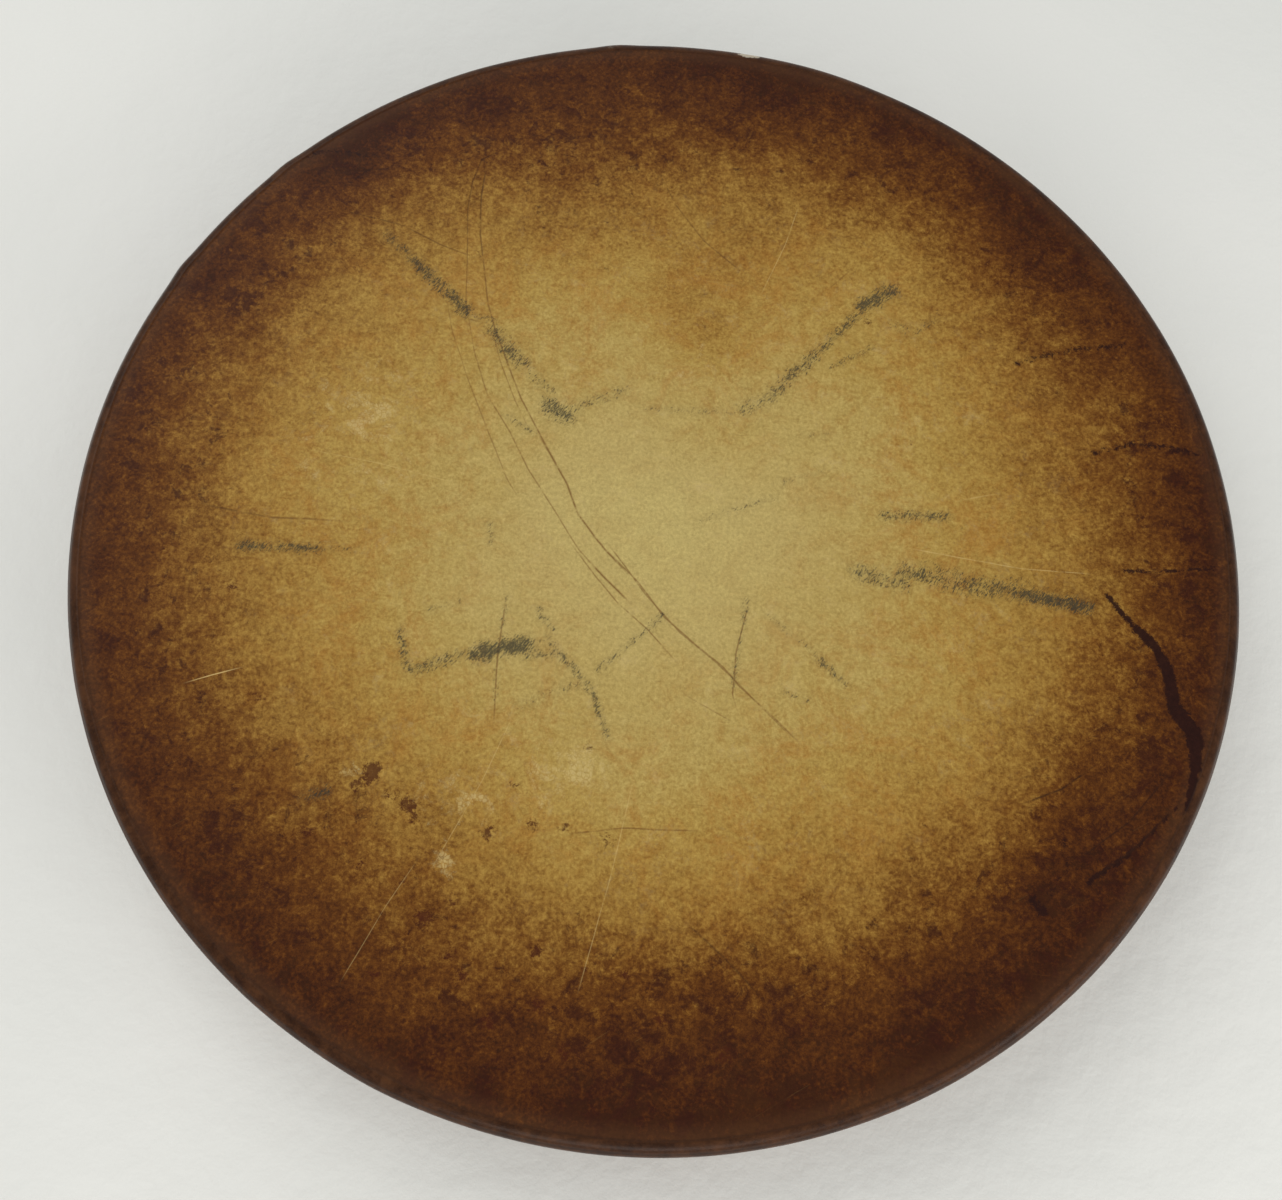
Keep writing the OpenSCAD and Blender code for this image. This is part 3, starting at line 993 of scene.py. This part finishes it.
def wood_material():
    """Dark bent wood: grain along the strip, pores, glue near the hide and worn edges."""
    s = Shading("bent_wood", **{"Specular IOR Level": 0.45})
    at = s.place_in_mm()
    strip, height, radius = strip_place(s, at)
    rings = year_rings(s, strip)
    pores = s.cloud(s.stretched(strip, (0.12, 3.2, 3.2)), 1.0, 2, 0.5)
    pore = s.step(pores, 0.55, 1.0)
    dirt = s.cloud(at, 0.05, 5, 0.65, 0.5)

    color = s.color_ramp(s.times_plus(rings, 0.32, 0.5), (
        (0.0, (58, 33, 18)),
        (0.35, (86, 52, 28)),
        (0.6, (112, 72, 40)),
        (1.0, (140, 96, 56)),
    ))
    color = s.painted(color, (38, 22, 14), pore, 0.6)
    color = s.painted(color, (52, 32, 20), s.step(dirt, 0.0, 1.0, 0.0, 0.55))

    # Dried glue and grime just below the hide's cut edge.
    outer = s.step(radius, (HOOP_R - 1 * MM) / MM, (HOOP_R - 0.4 * MM) / MM)
    ooze = s.times_plus(s.cloud(at, 0.12, 4, 0.6), 1.4, SKIRT_Z / MM - 1.5)
    glue = s.times(s.step(s.calc("SUBTRACT", height, ooze), -1.2, 0.6), outer)
    color = s.painted(color, (44, 24, 12), glue, 0.7)

    # The back edge is rubbed down to paler wood.
    rub = s.times_plus(s.cloud(at, 0.09, 4, 0.7), 1.1, 1.6)
    rub = s.step(s.calc("SUBTRACT", height, rub), -1.0, 0.8, 1.0, 0.0)
    color = s.painted(color, (164, 122, 78), rub, 0.55)

    # Fine dents and scratches from handling.
    nick = s.cloud(s.stretched(strip, (0.5, 0.25, 0.5)), 1.0, 6, 0.8)
    nick = s.step(nick, 0.9, 1.3)
    color = s.painted(color, (150, 110, 70), nick, 0.5)

    rough = s.times_plus(rings, 0.05, 0.5)
    rough = s.times_plus(glue, -0.2, rough)
    rough = s.times_plus(dirt, 0.06, rough)
    s.plug(color, rough)
    relief = s.times_plus(pore, -1.0, s.times(rings, 0.35))
    relief = s.times_plus(glue, 1.2, relief)
    relief = s.times_plus(nick, -0.8, relief)
    s.bumped(relief, 0.5, 0.15 * MM)
    return s.material


# ---- rings, eyes and nails

RING_R = 12.8 * MM
RING_WIRE = 1.2 * MM
RING_SLIT = 0.4 * MM
EYE_LOOP_R = 2.6 * MM
EYE_WIRE = 0.8 * MM
LEG_WIRE = 0.62 * MM
WRAP_WIRE = 0.42 * MM
EYE_REACH = 6.5 * MM
EYE_DROP = 0.48 * MM  # a ring's wire lies this far below the middle of its eye
SLIT_FIRST, SLIT_TURN, SLIT_SPAN = 70, 97, 220


def ring_frames():
    """For each joint, the ring's number, the name of its part, and the matrix that puts it at its hanging
    point.
    """
    out = []
    for i, joint in enumerate(frame["joints"]):
        at = Vector(joint["pos_m"])
        turn = Matrix.Rotation(math.atan2(at.y, at.x), 4, "Z")
        out.append((i, joint["child"], Matrix.Translation(at) @ turn))
    return out


def ring_points(i):
    """A hand-bent ring hanging from the origin in the Y-Z plane, its wall side +X."""
    slit = math.radians(SLIT_FIRST + (i * SLIT_TURN) % SLIT_SPAN)
    half_gap = RING_SLIT / RING_R / 2
    turns = np.linspace(slit + half_gap, slit + TAU - half_gap, 97)
    away = (1 - np.cos(turns)) / 2  # 0 at the hanging point, 1 at the foot
    seed = i * 1.37
    swell = 1 + away * 0.014 * np.sin(2 * turns + seed) + away * 0.006 * np.sin(5 * turns + seed)
    bow = away * 0.22 * MM * np.sin(2 * turns + 1.9 * seed)
    path = np.c_[bow, -RING_R * swell * np.sin(turns), -RING_R + RING_R * swell * np.cos(turns)]
    ends = np.minimum(turns - turns[0], turns[-1] - turns)
    wire = RING_WIRE * (1 - 0.12 * np.exp(-((ends / 0.03) ** 2)))
    wire = wire * (1 - 0.05 * np.clip(np.sin(7 * turns + seed), 0, 1) * away)
    return tube(path, wire, 16)


def make_rings(brass):
    for i, body, matrix in ring_frames():
        points, faces = ring_points(i)
        piece = mesh_piece(f"wire_{body}", points, faces)
        piece.data.transform(matrix)
        piece.data.set_sharp_from_angle(angle=math.radians(50))
        piece.data.materials.append(brass)
        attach(piece, body)
        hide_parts(body)


def eye_parts():
    """One eye: a wire bent into a loop, its two legs driven in, bound by a turn of finer wire."""
    leg = LEG_WIRE  # the legs touch
    grip = 5 * MM
    open_half = math.asin(leg / EYE_LOOP_R)
    loop = np.linspace(open_half, TAU - open_half, 41)
    path = [(EYE_REACH + grip, 0, leg), (EYE_REACH, 0, leg), (EYE_LOOP_R + 0.9 * MM, 0, leg)]
    path += [(EYE_LOOP_R * math.cos(a), 0, EYE_LOOP_R * math.sin(a)) for a in loop]
    path += [(EYE_LOOP_R + 0.9 * MM, 0, -leg), (EYE_REACH, 0, -leg), (EYE_REACH + grip, 0, -leg)]
    wire = np.full(len(path), EYE_WIRE)
    wire[:3] = wire[-3:] = LEG_WIRE
    coil = np.linspace(0, 2.2 * TAU, 45)
    wrap_x = EYE_REACH - 2.5 * MM
    wrap = [
        (wrap_x + WRAP_WIRE * a / TAU * 2.2, 1.05 * MM * math.cos(a), 1.6 * MM * math.sin(a))
        for a in coil
    ]
    return joined([tube(path, wire, 10), tube(wrap, WRAP_WIRE, 8)])


def make_eyes(iron):
    shape, faces = eye_parts()
    parts = []
    for i, _, matrix in ring_frames():
        lean = Matrix.Rotation(math.radians(2.5 * math.sin(i * 2.1)), 4, "X")
        m = np.array(matrix @ Matrix.Translation((0, 0, EYE_DROP)) @ lean)
        parts.append((shape @ m[:3, :3].T + m[:3, 3], faces))
    points, faces = joined(parts)
    piece = mesh_piece("wire_eyes", points, faces)
    piece.data.set_sharp_from_angle(angle=math.radians(50))
    piece.data.materials.append(iron)
    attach(piece, "drum")
    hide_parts("eye_pins")


NAIL_COUNT = 5
NAIL_HEAD_R = 2.3 * MM
NAIL_HEAD_H = 0.7 * MM
NAIL_LOW_Z = 9 * MM
NAIL_HIGH_Z = 23 * MM


def nail_parts(seed):
    """A hand-made nail, its flattened and slightly lopsided head towards +X."""
    sides = 28
    profile = [(-6.0, 0.25), (-1.0, 0.33), (-0.2, 0.35), (-0.1, 0.98), (0.12, 1.0), (0.3, 0.93),
               (0.62, 0.66), (0.82, 0.35), (0.88, 0.08)]
    points = []
    for h, r in profile:
        for k in range(sides):
            a = TAU * k / sides
            lop = 1 + 0.06 * math.sin(2 * a + seed) + 0.04 * math.sin(5 * a + 2.3 * seed)
            hammered = 1 - 0.10 * max(0.0, math.sin(a + seed)) if h > 0.2 else 1
            points.append((h * NAIL_HEAD_H * hammered, r * NAIL_HEAD_R * lop * math.cos(a),
                           r * NAIL_HEAD_R * lop * math.sin(a)))
    faces = []
    for row in range(len(profile) - 1):
        faces += [tuple(reversed(f)) for f in loop_faces(row * sides, (row + 1) * sides, sides)]
    faces.append(tuple(range(sides)))
    faces.append(tuple(reversed(range((len(profile) - 1) * sides, len(profile) * sides))))
    return np.array(points), [tuple(reversed(f)) for f in faces]


def make_nails(iron):
    step_a = 1.2 * SCARF_HALF / (NAIL_COUNT - 1)
    parts = []
    for i in range(NAIL_COUNT):
        a = SCARF_AZ + (i - (NAIL_COUNT - 1) / 2) * step_a
        shape, faces = nail_parts(seed=i * 1.7 + 0.4)
        radius = HOOP_R + float(rim_offset(np.array([a]))[0])
        height = NAIL_HIGH_Z if i % 2 == 0 else NAIL_LOW_Z
        m = np.array(Matrix.Rotation(a, 4, "Z") @ Matrix.Translation((radius, 0, height)))
        parts.append((shape @ m[:3, :3].T + m[:3, 3], faces))
    points, faces = joined(parts)
    piece = mesh_piece("scarf_nail_set", points, faces)
    piece.data.set_sharp_from_angle(angle=math.radians(40))
    piece.data.materials.append(iron)
    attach(piece, "drum")
    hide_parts("scarf_nails")


def brass_material():
    """Aged brass wire: brown patina, brighter where the rings rub."""
    s = Shading("aged_brass")
    at = s.place_in_mm()
    patina = s.cloud(at, 0.22, 6, 0.7, 0.4)
    fine = s.cloud(at, 1.6, 4, 0.7)
    dull = s.step(s.times_plus(fine, 0.35, patina), -0.5, 0.9)
    color = s.mixed(dull, srgb(206, 168, 96), srgb(96, 68, 38))
    verdigris = s.step(s.cloud(at, 0.5, 5, 0.75), 0.95, 1.35)
    color = s.painted(color, (86, 112, 88), verdigris, 0.5)
    s.plug(color, s.times_plus(dull, 0.28, 0.28))
    metal = s.times_plus(dull, -0.35, 1.0)
    s.tree.links.new(metal, s.shader.inputs["Metallic"])
    s.bumped(s.calc("ADD", fine, patina), 0.3, 0.05 * MM)
    return s.material


def iron_material(name, rust_amount):
    """Dark forged iron with rust in its hollows."""
    s = Shading(name)
    at = s.place_in_mm()
    blotch = s.cloud(at, 0.5, 6, 0.72, 0.3)
    fine = s.cloud(at, 2.5, 3, 0.6)
    rust = s.step(s.times_plus(fine, 0.3, blotch), 0.7 - rust_amount, 1.2 - rust_amount)
    color = s.mixed(rust, srgb(74, 70, 66), srgb(98, 56, 32))
    s.plug(color, s.times_plus(rust, 0.35, 0.42))
    s.tree.links.new(s.times_plus(rust, -0.8, 0.9), s.shader.inputs["Metallic"])
    s.bumped(s.times_plus(fine, 0.5, blotch), 0.4, 0.08 * MM)
    return s.material


# ---- floor, light, camera


def make_floor():
    """A pale cloth, with the faintest rise and fall."""
    size, steps = 24.0, 240
    grid = np.linspace(-size / 2, size / 2, steps + 1)
    x, y = np.meshgrid(grid, grid)
    points = np.c_[x.ravel(), y.ravel(), np.zeros(x.size)]
    faces = [
        (k, k + 1, k + steps + 2, k + steps + 1)
        for k in range(steps * (steps + 1)) if k % (steps + 1) < steps
    ]
    piece = mesh_piece("floor", points, faces)
    s = Shading("pale_cloth", **{"Specular IOR Level": 0.25})
    at = s.place_in_mm()
    soft = s.cloud(at, 0.004, 3, 0.5)
    fine = s.cloud(at, 0.05, 5, 0.6)
    color = s.mixed(s.step(soft, -1.0, 1.0), srgb(227, 228, 224), srgb(234, 234, 230))
    s.plug(color, s.times_plus(fine, 0.03, 0.75))
    s.bumped(s.times_plus(soft, 3.0, fine), 0.25, 1.0 * MM)
    piece.data.materials.append(s.material)


def area_light(name, at, aim, size, power, color=(1, 1, 1)):
    light = bpy.data.lights.new(name, "AREA")
    light.shape = "RECTANGLE"
    light.size, light.size_y = size
    light.energy = power
    light.color = color
    lamp = bpy.data.objects.new(name, light)
    lamp.location = at
    lamp.rotation_mode = "QUATERNION"
    lamp.rotation_quaternion = (Vector(aim) - Vector(at)).to_track_quat("-Z", "Y")
    bpy.context.scene.collection.objects.link(lamp)


def make_light():
    world = bpy.data.worlds.new("studio")
    world.use_nodes = True
    background = world.node_tree.nodes["Background"]
    background.inputs["Color"].default_value = (0.98, 0.995, 0.99, 1)
    background.inputs["Strength"].default_value = 0.56
    bpy.context.scene.world = world
    area_light("key", (-0.9, 0.9, 1.5), (0, 0, 0), (1.4, 1.4), 13.5, (1.0, 0.98, 0.95))
    area_light("window", (1.15, -0.95, 0.6), (0.2, -0.2, 0.03), (0.9, 0.5), 6, (1.0, 0.97, 0.93))
    area_light("front", (0.1, -1.3, 0.6), (0.0, -0.25, 0.0), (0.9, 0.4), 5, (1.0, 0.97, 0.93))


CAMERA_AT = (-0.0045, -0.1555, 0.468)
CAMERA_TILT = math.radians(16.81)
CAMERA_ROLL = math.radians(6.46)
CAMERA_SENSOR = 36.0
CAMERA_LENS = 33.7


def make_camera():
    data = bpy.data.cameras.new("camera")
    data.sensor_width = CAMERA_SENSOR
    data.lens = CAMERA_LENS
    data.clip_start = 0.01
    camera = bpy.data.objects.new("camera", data)
    turn = Matrix.Rotation(CAMERA_TILT, 4, "X") @ Matrix.Rotation(CAMERA_ROLL, 4, "Z")
    camera.matrix_world = Matrix.Translation(CAMERA_AT) @ turn
    bpy.context.scene.collection.objects.link(camera)
    bpy.context.scene.camera = camera
    bpy.context.scene.view_settings.view_transform = "Standard"


# ---- build

make_camera()
make_light()
make_floor()
make_hide(hide_outside(), hide_inside())
make_hoop(wood_material())
make_rings(brass_material())
make_eyes(iron_material("eye_wire", 0.35))
make_nails(iron_material("nail_heads", 0.1))
